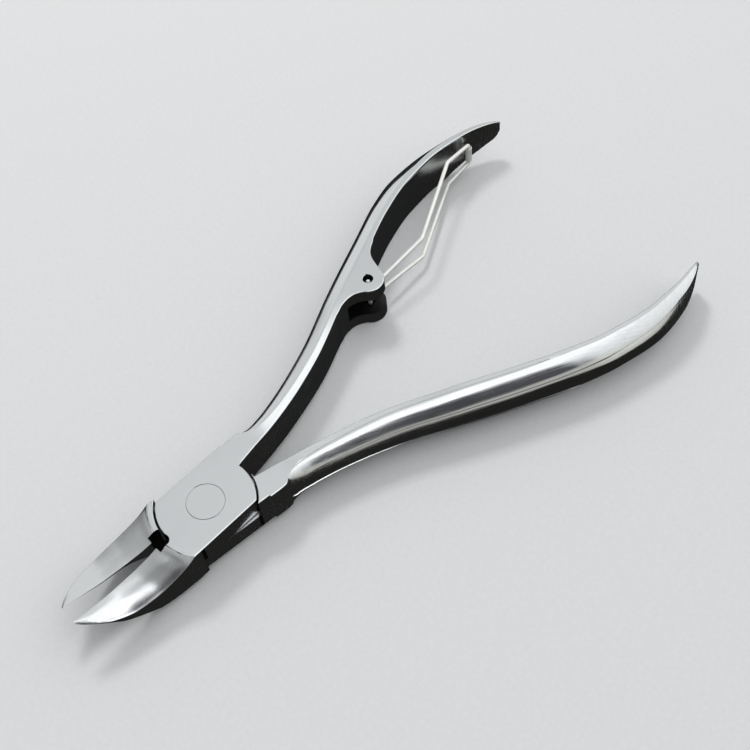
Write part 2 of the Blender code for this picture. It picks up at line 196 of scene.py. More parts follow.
# Distances from the pivot at which the jaw and the head have a section
TIP_STATIONS = (28.6, 28.5, 28.35, 28.1, 27.8, 27.4)
JAW_FIRST = 27.0
JAW_STEP = 0.4
JAW_STEPS = 37
JAW_ROOT_STATIONS = (12.2, 11.9, 11.6, 11.3, 11.0, 10.8, 10.6, 10.45, 10.3, 10.2, 10.12, 10.05)
HEAD_STATIONS = (
    9.95, 9.85, 9.7, 9.5, 9.3, 9.1, 8.95, 8.7, 8.3, 7.5, 6.5, 5.5, 4.5, 4.0,
    2.0, 0.0, -2.0, -4.0, -6.0, -8.0, -8.8,
)
SHOULDER_START = 8.9
SHOULDER_DEPTH = 1.0

# Keyhole behind the cutting edges
KEYHOLE_FRONT = -11.1
KEYHOLE_BACK = -8.45
KEYHOLE_HALF_WIDTH = 1.15
KEYHOLE_BACK_REACH = 0.95

# Spring lug, wire frame and sleeve
LUG_CENTRE = (51.3, 11.5)
LUG_RADIUS = 3.1
LUG_ARC = range(212, 353, 5)
LUG_BACK_FILLET = ((42.4, 10.4), (44.0, 10.95), (45.6, 11.1), (46.8, 10.9), (47.7, 10.5), (48.67, 9.86))
LUG_FRONT_FILLET = (
    (54.37, 11.07), (54.7, 12.4), (55.2, 13.9), (55.9, 15.2), (57.0, 16.2), (58.4, 17.0),
)
LUG_BACK_SPACING = 0.3
LUG_FRONT_SPACING = 0.15
LUG_FRONT_GAP = 0.05
LUG_MARGIN = 0.4
LUG_HOLE_RADIUS = 0.95
LUG_HOLE_BREAK = 0.1
LUG_SLOT_WIDTH = 4.2
LUG_SLOT_ANGLE = 22.9
LUG_SLOT_DEPTH = 0.6
LUG_SLOT_START = 45.2
LUG_SLOT_LENGTH = 14.0
LUG_SLOT_REACH = 9.0
WIRE_RADIUS = 0.4
WIRE_LEG_START = 1.2
WIRE_END_HEIGHT = 4.3
WIRE_KNEE = (66.2, 11.6, 2.72)
WIRE_SHOULDER = (83.6, 20.7, 3.26)
WIRE_CROSSBAR = (90.4, 21.1, 2.6)
WIRE_END_BEND_RADIUS = 0.55
WIRE_BEND_RADIUS = 1.6
WIRE_CORNER_RADIUS = 0.62
WIRE_TAPER_LENGTH = 0.12
WIRE_TAPER = 0.7
SLEEVE_INNER_RADIUS = 0.46
SLEEVE_OUTER_RADIUS = 0.68
SLEEVE_LENGTH = 3.6
SLEEVE_RIB_PITCH = 0.58
SLEEVE_RIB_GROOVE = ((-0.24, 0.0), (-0.1, 0.05), (0.1, 0.05), (0.24, 0.0))
SLEEVE_SLIT = 70.0
SLEEVE_SLIT_FACING = 115.0
SLEEVE_STEPS = 56
SLEEVE_LIP_STEPS = 8

# Colours, bright and dark, of each steel
FORGED_COLOURS = ((0.66, 0.67, 0.68, 1.0), (0.56, 0.57, 0.58, 1.0))
RIVET_COLOURS = ((0.56, 0.57, 0.575, 1.0), (0.49, 0.50, 0.505, 1.0))
WIRE_COLOURS = ((0.86, 0.86, 0.82, 1.0), (0.74, 0.74, 0.71, 1.0))
SLEEVE_COLOURS = ((0.86, 0.86, 0.82, 1.0), (0.72, 0.72, 0.69, 1.0))
# Painted shade: the up-facing flats are mixed this far towards this dark colour, which dims their
# reflection
FLAT_SHADE_COLOUR = (0.2, 0.215, 0.22, 1.0)
FLAT_SHADE_SHARE = 0.2
FLOOR_COLOURS = ((0.60, 0.60, 0.605, 1.0), (0.66, 0.66, 0.665, 1.0))
FLOOR_GRAIN = (1.2, 1.2, 1.2)
FLOOR_ROUGHNESS = 0.85
FLOOR_MIDDLE_X = 0.04
FLOOR_HALF_SIZE = 1.5

# Forged steel: ramps over x or over the normal's z (from, to, and the values there), and the noise of
# each finish, in repeats a millimetre along X, Y and Z
JAW_RAMP = (-10.4 * MM, -9.9 * MM, 1.0, 0.0)
TIP_RAMP = (76 * MM, 90 * MM)
FLAT_RAMP = (0.985, 0.998)
JAW_LINES = (0.05, 9.0, 3.0)
JAW_FINE_LINES = (0.12, 26.0, 8.0)
JAW_LINES_TURN = 8.0
HANDLE_STREAKS = (0.03, 5.0, 5.0)
HANDLE_STREAKS_TURN = 20.0
TIP_SCRATCHES = (7.0, 0.35, 0.6)
TIP_SCRATCHES_TURN = 38.0
GROUND_GRAIN = (9.0, 9.0, 9.0)
CLOUDS = (0.12, 0.2, 0.2)
HANDLE_ROUGHNESS = (28 * MM, 60 * MM, 0.2, 0.11)
TIP_ROUGHNESS = 0.22
JAW_ROUGHNESS = 0.19
FLAT_ROUGHNESS = 0.34
SURFACE_ROUGHNESS = (0.3, 0.7, -0.05, 0.07)
CLOUD_ROUGHNESS = (0.3, 0.7, -0.02, 0.03)
COLOUR_RAMP = (0.25, 0.75)
HANDLE_BUMP = 0.15
TIP_BUMP = 0.3
JAW_BUMP = 0.4
FLAT_BUMP = 0.25
FORGED_BUMP_DEPTH = 0.02

# Painted shade: near-black colour on the walls inside the lap joint's seam, the keyhole and the lug
SEAM_RADIUS = 8.79
SEAM_REACH = 0.24
SLIT_HALF_WIDTH = 1.2
SEAM_HALF_DEPTH = 3.8
PAINTED_SHADE_COLOUR = (0.04, 0.04, 0.04, 1.0)
KEYHOLE_MARGINS = (0.05, 0.1)
LUG_HOLE_MARGIN = 0.03
LUG_SLOT_MARGIN = 0.05
LUG_SLOT_HEIGHT_MARGIN = 0.02
LUG_SLOT_PAST = 3.0

# Rivet: rings left by turning, under a fine grain
TURNING_SCALE = 900.0
TURNING_WOBBLE = 1.5
TURNING_SHARE = 0.25
RIVET_ROUGHNESS = (0.2, 0.8, 0.29, 0.4)
RIVET_BUMP_DEPTH = 0.003

# Wire and sleeve
DRAWN_BLOTCHES = (0.6, 0.6, 0.6)
DRAWN_BLOTCH_SHARE = 0.4
DRAWN_RAMP = (0.3, 0.7)
DRAWN_ROUGHNESS_SPREAD = (-0.06, 0.08)
DRAWN_METALLIC = 0.4
DRAWN_BUMP_DEPTH = 0.004
WIRE_ROUGHNESS = 0.45
WIRE_LINES = (3.0, 3.0, 3.0)
SLEEVE_ROUGHNESS = 0.42
SLEEVE_LINES = (8.0, 8.0, 0.8)

# Studio dome. Each ramp runs between two angles east or north of straight up, in degrees: from, to,
# and the values there
TOP_GLOW = (12, 20, 1.65, 1.0)
LOW_FALL = (-92, -26, 0.45, 1.0)
EAST_FALL = (20, 44, 1.0, 0.85)
SPOT_EAST = (6, 9, 1.8, 0.0)
SPOT_NORTH_END = (40, 50, 1.0, 0.0)
SPOT_SOUTH_END = (0, 12)
SHADE_FROM_WEST = (-40, 6, 0.36, 0.74)
SHADE_NORTH_FALL = (50, 90, 1.0, 0.6)
SHADE_CREST = (4, 20, 0.7, 1.0)
SHADE_SOUTH_FALL = (-38, -22, 0.22, 1.0)
LOW_BAND = (-75, -72)
LOW_BAND_BRIGHTNESS = 0.62
WEST_WALL = (-46, -32)
WEST_WALL_BRIGHTNESS = 0.6
BORDER = (2.5, 7)
BORDER_SHIFT_SOUTH = (-40, -28, 0.0, 4.5)
BORDER_SHIFT_FADE = (20, 46, 1.0, 0.0)
BORDER_SHIFT_NORTH = (50, 60, 0.0, 5.0)
RIM_SOUTH = (-80, 0, 102, 92)
RIM_NORTH = (60, 90, 0, 7)
RIM_SOFTNESS = (-2, 2, 1.0, 0.0)
BELOW_RIM = 0.02
COOL_EAST = (1, 7, 1.0, 0.0)
COOL_NORTH = (-40, -20, 1.0, 0.0)
COOL_SOUTH = (-75, -71)
COOL_TINT = (0.97, 0.97, 1.06, 1.0)
WARM_TINT = (1.0, 1.0, 0.93, 1.0)
PLAIN_TINT = (0.98, 1.0, 1.0, 1.0)

# Lamps, in metres
KEY_LAMP = {
    "place": (0.22, 0.45, 0.65), "aim": (0.04, 0.0, 0.0), "size": (0.16, 0.16), "radiance": 28.0,
}
STRIP_LAMP = {
    "place": (0.002, -0.11, 0.268), "aim": (0.04, -0.015, 0.008), "size": (0.115, 0.1), "radiance": 1.6,
}

# Points round a lever's section. SIDE_ROWS go down the outer side from its top edge, at 1, to its middle;
# SIDE_ROW is the crease between the facets, and the ground band runs from RECESS_TOP to RECESS_LOW.
TOP_POINTS = 12
SIDE_ROW = 0.575
RECESS_TOP = 0.525
RECESS_LOW = -0.355
SIDE_ROWS = (
    1, 0.9976, 0.9905, 0.979, 0.9655, 0.95, 0.92, 0.88, 0.84, 0.8, 0.76, 0.72, 0.68, 0.64, 0.6,
    0.585, 0.575, 0.525, 0.515, 0.5, 0.47, 0.44, 0.4, 0.365, 0.35, 0.3, 0.25, 0.2, 0.15, 0.1, 0.05,
)
FORGED_EDGE_ANGLE = 28.0  # an edge turning more than this stays crisp
ROLLED_EDGE_ANGLE = 40.0
CORNER_POINTS = 6
BOTTOM_POINTS = 6
INNER_POINTS = 16

# Camera
CAMERA_PLACE = Vector((-0.03241, -0.09464, 0.18689))
CAMERA_TARGET = Vector((0.03734, -0.00174, 0.008))
CAMERA_UP = Vector((0.59726, 0.5925, 0.54058))
CAMERA_LENS = 57.6


def blend_along(table, x):
    """Value at x on a smooth line through the table that never overshoots its points."""
    if x <= table[0][0]:
        return table[0][1]
    if x >= table[-1][0]:
        return table[-1][1]
    spans = [b[0] - a[0] for a, b in zip(table, table[1:])]
    rises = [(b[1] - a[1]) / s for a, b, s in zip(table, table[1:], spans)]
    i = max(k for k in range(len(spans)) if table[k][0] <= x)

    def tangent(k):
        if k == 0:
            return rises[0]
        if k == len(spans):
            return rises[-1]
        if rises[k - 1] * rises[k] <= 0:
            return 0.0
        return 2 * rises[k - 1] * rises[k] / (rises[k - 1] + rises[k])

    t = (x - table[i][0]) / spans[i]
    start = table[i][1] * (1 + 2 * t) * (1 - t) ** 2 + spans[i] * tangent(i) * t * (1 - t) ** 2
    end = table[i + 1][1] * t * t * (3 - 2 * t) + spans[i] * tangent(i + 1) * t * t * (t - 1)
    return start + end


def smooth_step(low, high, x):
    t = min(1.0, max(0.0, (x - low) / (high - low)))
    return t * t * (3 - 2 * t)


def steps_between(low, high, step):
    count = max(1, round((high - low) / step))
    return [low + (high - low) * k / count for k in range(count)]


def side_rows():
    """Rows down the outer side, from 1 at the top edge to -1 at the bottom one."""
    return list(SIDE_ROWS) + [0.0] + [-row for row in reversed(SIDE_ROWS)]


def square_side(half):
    """Outer side of the head, with rounded corners: (out, up) pairs from the top edge down."""
    side = []
    for row in side_rows():
        depth = min(EDGE_ROUND, (1 - abs(row)) * half)
        side.append((sqrt(EDGE_ROUND**2 - (EDGE_ROUND - depth) ** 2) - EDGE_ROUND, half * (row - 1)))
    return side


def round_side(kind, x, half):
    """Outer side of the handle: a bow with a shallow ground band along it, and facets at the tip."""
    bulge = blend_along(BULGE, x) - blend_along(FLAT_EXTRA[kind], x)
    ridge = blend_along(RIDGE, x)
    crease = blend_along(RIDGE_HEIGHT[kind], x)
    reach = RIDGE_OUT[kind]
    recess = blend_along(RECESS, x)
    ledge = blend_along(LEDGE, x)
    start = radians(90 - CREASE_ANGLE)
    side = []
    for row in side_rows():
        size = abs(row)
        if size > SIDE_ROW:
            height = 1 - (1 - size) * (1 - crease) / (1 - SIDE_ROW)
            run = (height - crease) / (1 - crease)
            facet = reach * (1 - run) * (1 + FACET_CROWN * run)
        else:
            height = size * crease / SIDE_ROW
            facet = 1 - (1 - reach) * (height / crease) ** CREASE_SHARPNESS
        bow = (sqrt(1 - (height * sin(start)) ** 2) - cos(start)) / (1 - cos(start))
        inset = recess * min(1.0, max(0.0, (SIDE_ROW - row) / (SIDE_ROW - RECESS_TOP)))
        if row < RECESS_LOW:
            inset -= ledge
        out = bulge * (bow * (1 - ridge) + facet * ridge) - inset
        side.append((out, half * (height * (1 if row > 0 else -1) - 1)))
    return side


def inner_side(low, top, hollow, corner):
    """(in, up) pairs from the bottom corner to the top one, with both corners rounded."""
    turn = [radians(90 * k / (CORNER_POINTS - 1)) for k in range(CORNER_POINTS)]
    rising = [(corner * (1 - sin(a)), low + corner * (1 - cos(a))) for a in turn]
    straight = []
    for k in range(1, INNER_POINTS + 1):
        share = k / (INNER_POINTS + 1)
        z = low + corner + (top - low - 2 * corner) * share
        straight.append((hollow * 4 * share * (1 - share), z))
    return rising + straight + [(out, top + low - z) for out, z in reversed(rising)][:-1]


def body_section(x, inner, flat, half, side, hollow, arc=0.0, step=0.0, tilt=0.0):
    """Closed section at x: flat top, outer side, flat bottom, hollow inner side.

    arc bends the section round the pivot, for the head next to the jaw. step lowers a narrow shelf
    along the outer edge, and tilt lowers the inner edge.
    """
    top = MID_Z + half
    low = MID_Z - half
    outer = inner + flat
    corner = min(EDGE_ROUND, half / 3, flat / 4)
    start = inner + corner
    stop = outer + side[0][0] - STEP_WIDTH * min(1.0, flat / 2)
    shares = [k / TOP_POINTS for k in range(TOP_POINTS + 1)]
    points = [(start + (stop - start) * share, top - tilt * (1 - share)) for share in shares]
    wide = outer + side[0][0] - stop
    shelf = [stop + wide / 4, stop + wide * 2 / 3]
    points += [(y, top - step) for y in shelf]
    points += [(outer + out, min(max(top + up, low + step), top - step)) for out, up in side]
    points += [(y, low + step) for y in reversed(shelf)]
    points += [(stop + (start - stop) * k / (BOTTOM_POINTS + 1), low) for k in range(BOTTOM_POINTS + 1)]
    points += [(inner + out, z) for out, z in inner_side(low, top - tilt, hollow, corner)]
    return [(x + arc * arc_offset(y), y, z) for y, z in points]


def arc_offset(y):
    """How far an arc about the pivot, at the jaw's start, has moved back at y."""
    return JAW_ARC_RADIUS - sqrt(max(0.0, JAW_ARC_RADIUS**2 - min(abs(y), HEAD_HALF_WIDTH) ** 2))


def jaw_section(kind, s):
    """Jaw section at distance s: crowned top down to the outer side, cutting edge at y 0, hollow back."""
    arc = 1 - smooth_step(JAW_ARC_RADIUS, ARC_FADES_OUTWARD, s)
    outer = blend_along(OUTER_Y, s)
    for _ in range(3):
        outer = blend_along(OUTER_Y, s - arc * arc_offset(outer))
    edge_z = blend_along(EDGE_Z[kind], s)
    outer_z = blend_along(OUTER_Z[kind], s)
    low = blend_along(BOTTOM_Z, s)
    corner = min(JAW_CORNER, outer / 4, (outer_z - low) / 4)
    crown = CROWN_SHARE[kind] * outer * smooth_step(JAW_ARC_RADIUS, JAW_ARC_RADIUS + CROWN_FADE, s)
    hollow = blend_along(HOLLOW_SHARE, s) * outer
    top = []
    for k in range(TOP_POINTS + 3):
        share = k / (TOP_POINTS + 3)
        y = -(outer - corner) * (1 - share) - EDGE_GAP
        top.append((y, outer_z + (edge_z - outer_z) * share + crown * 4 * share * (1 - share)))
    back = []
    for row in side_rows():
        share = (1 - row) / 2
        inset = max(0.0, (share - HOLLOW_START) / (1 - HOLLOW_START)) ** HOLLOW_POWER
        back.append((-EDGE_GAP - hollow * inset, edge_z + (low - edge_z) * share))
    start = -EDGE_GAP - hollow
    stop = -outer + corner
    steps = BOTTOM_POINTS + 4
    bottom = [(start + (stop - start) * k / steps, low) for k in range(1, steps)]
    side = [(-outer + out, z) for out, z in inner_side(low, outer_z, 0.0, corner)]
    return [(-s + arc * arc_offset(y), y, z) for y, z in top + back + bottom + side]


def lug_outline():
    """Points (x, y) of the inner side where the spring lug stands out of the handle."""
    cx, cy = LUG_CENTRE
    back = steps_between(LUG_BACK_FILLET[0][0], LUG_BACK_FILLET[-1][0], LUG_BACK_SPACING)
    start = LUG_FRONT_FILLET[0][0] + LUG_FRONT_GAP
    front = steps_between(start, LUG_FRONT_FILLET[-1][0], LUG_FRONT_SPACING)
    points = [(x, blend_along(LUG_BACK_FILLET, x)) for x in back]
    for angle in LUG_ARC:
        turn = radians(angle)
        points.append((cx + LUG_RADIUS * cos(turn), cy + LUG_RADIUS * sin(turn)))
    return points + [(x, blend_along(LUG_FRONT_FILLET, x)) for x in front]


def handle_stations(kind):
    """(x, inner y) pairs along the handle, with the lug's outline on the spring lever."""
    xs = [x for span in HANDLE_SPACING for x in steps_between(*span)] + [HANDLE_END]
    stations = [(x, blend_along(INNER_LINE[kind], x)) for x in xs]
    if kind == "spring":
        lug = lug_outline()
        start = lug[0][0] - LUG_MARGIN
        stop = lug[-1][0] + LUG_MARGIN
        stations = [station for station in stations if not start < station[0] < stop] + lug
    return sorted(stations)


def head_sections(kind):
    """Sections of the head from the jaw back, bent round the pivot next to the jaw."""
    square = square_side(MID_Z)
    sections = []
    for s in HEAD_STATIONS:
        arc = 1 - smooth_step(0.0, 1.0, (JAW_ARC_RADIUS - s) / (JAW_ARC_RADIUS - ARC_FADES_INWARD))
        section = body_section(-s, -HEAD_HALF_WIDTH, 2 * HEAD_HALF_WIDTH, MID_Z, square, 0.0, arc)
        if kind == "plain" and s > SHOULDER_START:
            lift = blend_along(EDGE_Z[kind], s) - HEAD_TOP
            foot = HEAD_TOP - SHOULDER_DEPTH
            section = [(x, y, z + lift * smooth_step(foot, HEAD_TOP, z)) for x, y, z in section]
        sections.append(section)
    return sections


def handle_section(kind, x, inner):
    """Handle's section at x, with its underside drawn up where the tip is shallow."""
    plain_inner = blend_along(INNER_LINE[kind], x)
    flat = blend_along(FLAT_WIDTH, x) + blend_along(FLAT_EXTRA[kind], x) + plain_inner - inner
    half = blend_along(HALF_HEIGHT[kind], x)
    roundness = smooth_step(ROUND_FROM, ROUND_TO, x)
    side = [
        (a[0] + (b[0] - a[0]) * roundness, a[1] + (b[1] - a[1]) * roundness)
        for a, b in zip(square_side(half), round_side(kind, x, half))
    ]
    hollow = blend_along(INNER_HOLLOW, x) if inner == plain_inner else 0.0
    step = blend_along(STEP, x)
    tilt = blend_along(RIM_TILT, x)
    section = body_section(x, inner, flat, half, side, hollow, step=step, tilt=tilt)
    share = blend_along(DEPTH_SHARE[kind], x)
    top = MID_Z + half
    return [(x, y, top - (top - z) * share) for x, y, z in section]


def lever_sections(kind):
    """Every section of a lever, from the jaw's tip to the handle's."""
    middle = tuple(JAW_FIRST - JAW_STEP * k for k in range(JAW_STEPS))
    sections = [jaw_section(kind, s) for s in TIP_STATIONS + middle + JAW_ROOT_STATIONS]
    sections += head_sections(kind)
    return sections + [handle_section(kind, x, inner) for x, inner in handle_stations(kind)]


def link_mesh(name, bm):
    mesh = bpy.data.meshes.new(name)
    bm.to_mesh(mesh)
    bm.free()
    made = bpy.data.objects.new(name, mesh)
    bpy.context.scene.collection.objects.link(made)
    return made


def bridge(bm, rings):
    """Faces from each closed ring of vertices to the next."""
    for ring, after in zip(rings, rings[1:]):
        for k in range(len(ring)):
            nxt = (k + 1) % len(ring)
            bm.faces.new((ring[k], ring[nxt], after[nxt], after[k]))


def loft(name, sections, side):
    """Closed solid through the sections. side is 1, or -1 for its mirror image in Y."""
    bm = bmesh.new()
    rings = [[bm.verts.new((x * MM, side * y * MM, z * MM)) for x, y, z in s] for s in sections]
    bridge(bm, rings)
    bm.faces.new(rings[0])
    bm.faces.new(rings[-1])
    bmesh.ops.recalc_face_normals(bm, faces=bm.faces)
    return link_mesh(name, bm)


def swept(name, profile, centre=(0.0, 0.0), start=0.0, stop=360.0, steps=180):
    """Solid swept about a vertical axis by a closed profile of (radius, z) points."""
    whole = stop - start >= 360
    bm = bmesh.new()
    rings = []
    for k in range(steps if whole else steps + 1):
        a = radians(start + (stop - start) * k / steps)
        ring = [(centre[0] + r * cos(a), centre[1] + r * sin(a), z) for r, z in profile]
        rings.append([bm.verts.new((x * MM, y * MM, z * MM)) for x, y, z in ring])
    if whole:
        rings.append(rings[0])
    else:
        bm.faces.new(rings[0])
        bm.faces.new(rings[-1])
    bridge(bm, rings)
    bmesh.ops.remove_doubles(bm, verts=bm.verts, dist=MERGE_DISTANCE)
    bmesh.ops.dissolve_degenerate(bm, edges=bm.edges, dist=MERGE_DISTANCE / 10)
    bmesh.ops.recalc_face_normals(bm, faces=bm.faces)
    return link_mesh(name, bm)


def prism(name, outline, low, high):
    bm = bmesh.new()
    floor = [bm.verts.new((x * MM, y * MM, low * MM)) for x, y in outline]
    roof = [bm.verts.new((x * MM, y * MM, high * MM)) for x, y in outline]
    bm.faces.new(floor)
    bm.faces.new(roof)
    for k in range(len(outline)):
        nxt = (k + 1) % len(outline)
        bm.faces.new((floor[k], floor[nxt], roof[nxt], roof[k]))
    bmesh.ops.recalc_face_normals(bm, faces=bm.faces)
    return link_mesh(name, bm)


def mirrored_span(start, stop, side):
    return (start, stop) if side > 0 else (-stop, -start)


def relief_profile():
    """Ring cut round the lap plate. It widens where it meets the head's faces, so the edge is broken."""
    f = EDGE_FLARE
    heights = (-CUT_PAST, -f, 0.0, f, HEAD_TOP - f, HEAD_TOP, HEAD_TOP + f, HEAD_TOP + 3 * CUT_PAST)
    flares = (2 * f, 2 * f, f, 0.0, 0.0, f, 2 * f, 2 * f)
    inner = [(PLATE_RADIUS - flare, z) for flare, z in zip(flares, heights)]
    return inner + [(RELIEF_RADIUS, z) for z in reversed(heights)]


def lap_profile(upper):
    """Space cut for the other lever's lap plate, above or below it, with its rim broken."""
    wall = SHOULDER_RADIUS
    f = EDGE_FLARE
    past = 2 * CUT_PAST
    if upper:
        floor = MID_Z + LAP_GAP / 2
        rim = [(wall + 2 * f, -past), (wall + 2 * f, -f), (wall, f)]
        return [(0, -past)] + rim + [(wall, floor), (0, floor)]
    floor = MID_Z - LAP_GAP / 2
    top = HEAD_TOP
    rim = [(wall, top - f), (wall + 2 * f, top + f), (wall + 2 * f, top + past)]
    return [(0, floor), (wall, floor)] + rim + [(0, top + past)]


def bore_profile(upper):
    """Hole for the rivet's shank and for the head that lies in this lever, with its rim broken."""
    seat = RIVET_RADIUS + SEAT_CLEARANCE
    shank = RIVET_SHANK_RADIUS + BORE_CLEARANCE
    depth = RIVET_HEAD_DEPTH + BORE_CLEARANCE
    rim = RIM_BREAK
    top = HEAD_TOP
    if upper:
        step = [(0, -CUT_PAST), (shank, -CUT_PAST), (shank, top - depth), (seat, top - depth)]
        return step + [(seat, top - rim), (seat + 2 * rim, top + rim), (0, top + rim)]
    step = [(0, -rim), (seat + 2 * rim, -rim), (seat, rim), (seat, depth)]
    return step + [(shank, depth), (shank, top + CUT_PAST), (0, top + CUT_PAST)]


def lug_hole_profile():
    """Hole through both of the lug's ears, countersunk at their outer faces."""
    r = LUG_HOLE_RADIUS
    wide = r + LUG_HOLE_BREAK + CUT_PAST
    top = MID_Z + blend_along(HALF_HEIGHT["spring"], LUG_CENTRE[0])
    low = 2 * MID_Z - top
    bottom = [(0, low - CUT_PAST), (wide, low - CUT_PAST), (r, low + LUG_HOLE_BREAK)]
    return bottom + [(r, top - LUG_HOLE_BREAK), (wide, top + CUT_PAST), (0, top + CUT_PAST)]


def keyhole_outline(side):
    """Slot behind the cutting edges: square at the front and round at the back."""
    centre = KEYHOLE_BACK - KEYHOLE_BACK_REACH
    points = [(KEYHOLE_FRONT, -KEYHOLE_HALF_WIDTH), (KEYHOLE_FRONT, KEYHOLE_HALF_WIDTH)]
    for angle in range(90, -91, -15):
        turn = radians(angle)
        points.append((centre + KEYHOLE_BACK_REACH * cos(turn), KEYHOLE_HALF_WIDTH * sin(turn)))
    return [(x, side * y) for x, y in points]


def slot_outline():
    """Slot between the lug's ears: its bed runs from the first corner to the second."""
    run = (cos(radians(LUG_SLOT_ANGLE)), sin(radians(LUG_SLOT_ANGLE)))
    start = (LUG_SLOT_START, blend_along(INNER_LINE["spring"], LUG_SLOT_START) - LUG_SLOT_DEPTH)
    end = (start[0] + run[0] * LUG_SLOT_LENGTH, start[1] + run[1] * LUG_SLOT_LENGTH)
    across = (run[1] * LUG_SLOT_REACH, -run[0] * LUG_SLOT_REACH)
    corners = [start, end]
    return corners + [(x + across[0], y + across[1]) for x, y in reversed(corners)]


def evaluated_mesh(thing):
    """New mesh of a curve's tube, or of an object with its modifiers applied."""
    bpy.context.view_layer.update()
    graph = bpy.context.evaluated_depsgraph_get()
    return bpy.data.meshes.new_from_object(thing.evaluated_get(graph))


def apply_modifiers(piece):
    mesh = evaluated_mesh(piece)
    piece.modifiers.clear()
    old = piece.data
    piece.data = mesh
    mesh.name = piece.name
    bpy.data.meshes.remove(old)


def cut(piece, cutters):
    for cutter in cutters:
        modifier = piece.modifiers.new(cutter.name, "BOOLEAN")
        modifier.operation = "DIFFERENCE"
        modifier.solver = "MANIFOLD"
        modifier.object = cutter
    apply_modifiers(piece)
    for cutter in cutters:
        bpy.data.objects.remove(cutter)


def paint(piece, material):
    piece.data.materials.clear()
    piece.data.materials.append(material)
    piece.data.polygons.foreach_set("material_index", [0] * len(piece.data.polygons))


def shade(piece, angle=FORGED_EDGE_ANGLE):
    """Smooth faces, crisp edges, and flats that stay flat."""
    piece.data.shade_smooth()
    piece.data.set_sharp_from_angle(angle=radians(angle))
    weighted = piece.modifiers.new("weighted", "WEIGHTED_NORMAL")
    weighted.keep_sharp = True
    weighted.mode = "FACE_AREA"
    apply_modifiers(piece)


def make_lever(name, node, kind, side, material):
    """One forged lever, modelled with its jaws shut and turned about the pivot to its place."""
    lever = loft(name, lever_sections(kind), side)
    upper = side > 0
    cutters = [swept(name + "_lap", lap_profile(upper), steps=240)]
    for label, span in RELIEF_SPANS.items():
        start, stop = mirrored_span(*span, side)
        relief = name + "_relief_" + label
        cutters.append(swept(relief, relief_profile(), start=start, stop=stop, steps=64))
    low = -3 * CUT_PAST
    high = HEAD_TOP + 4 * CUT_PAST
    cutters.append(prism(name + "_keyhole", keyhole_outline(side), low, high))
    cutters.append(swept(name + "_bore", bore_profile(upper), steps=160))
    if kind == "spring":
        half = LUG_SLOT_WIDTH / 2
        cutters.append(prism(name + "_slot", slot_outline(), MID_Z - half, MID_Z + half))
        cutters.append(swept(name + "_lug_hole", lug_hole_profile(), centre=LUG_CENTRE, steps=64))
    cut(lever, cutters)
    paint(lever, material)
    shade(lever)
    lever.data.transform(Matrix.Rotation(side * radians(HALF_OPENING), 4, "Z"))
    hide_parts(node)
    return lever


def make_rivet(material):
    """Rivet with a shallow head at each end, flush with the lever it lies in."""
    head = RIVET_RADIUS
    shank = RIVET_SHANK_RADIUS
    depth = RIVET_HEAD_DEPTH
    rim = RIM_BREAK
    profile = [(0, 0), (head - rim, 0), (head, rim), (head, depth), (shank, depth)]
    profile += [(shank, HEAD_TOP - depth), (head, HEAD_TOP - depth), (head, HEAD_TOP - rim)]
    profile += [(head - rim, HEAD_TOP), (0, HEAD_TOP)]
    rivet = swept("rivet", profile, steps=160)
    paint(rivet, material)
    shade(rivet)
    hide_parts("pivot_rivet")
    return rivet


def stand_at(piece, joint):
    """Moves a mesh made about the origin, in the spring lever's axes, to a joint."""
    turn = Matrix.Rotation(radians(HALF_OPENING), 4, "Z")
    piece.data.transform(Matrix.Translation(JOINTS[joint]["pos_m"]) @ turn)


def rounded_path(corners, radii, steps=10):
    """The path through the corners with each inner corner turned at its own radius."""
    path = [corners[0]]
    for before, corner, after, radius in zip(corners, corners[1:], corners[2:], radii):
        back = (before - corner).normalized()
        ahead = (after - corner).normalized()
        half = back.angle(ahead) / 2
        reach = radius / max(0.001, abs(sin(half) / cos(half)))
        start = corner + back * reach
        end = corner + ahead * reach
        middle = (back + ahead).normalized()
        centre = corner + middle * sqrt(radius**2 + reach**2)
        for k in range(steps + 1):
            spoke = (start - centre).lerp(end - centre, k / steps).normalized()
            path.append(centre + spoke * radius)
    path.append(corners[-1])
    return path


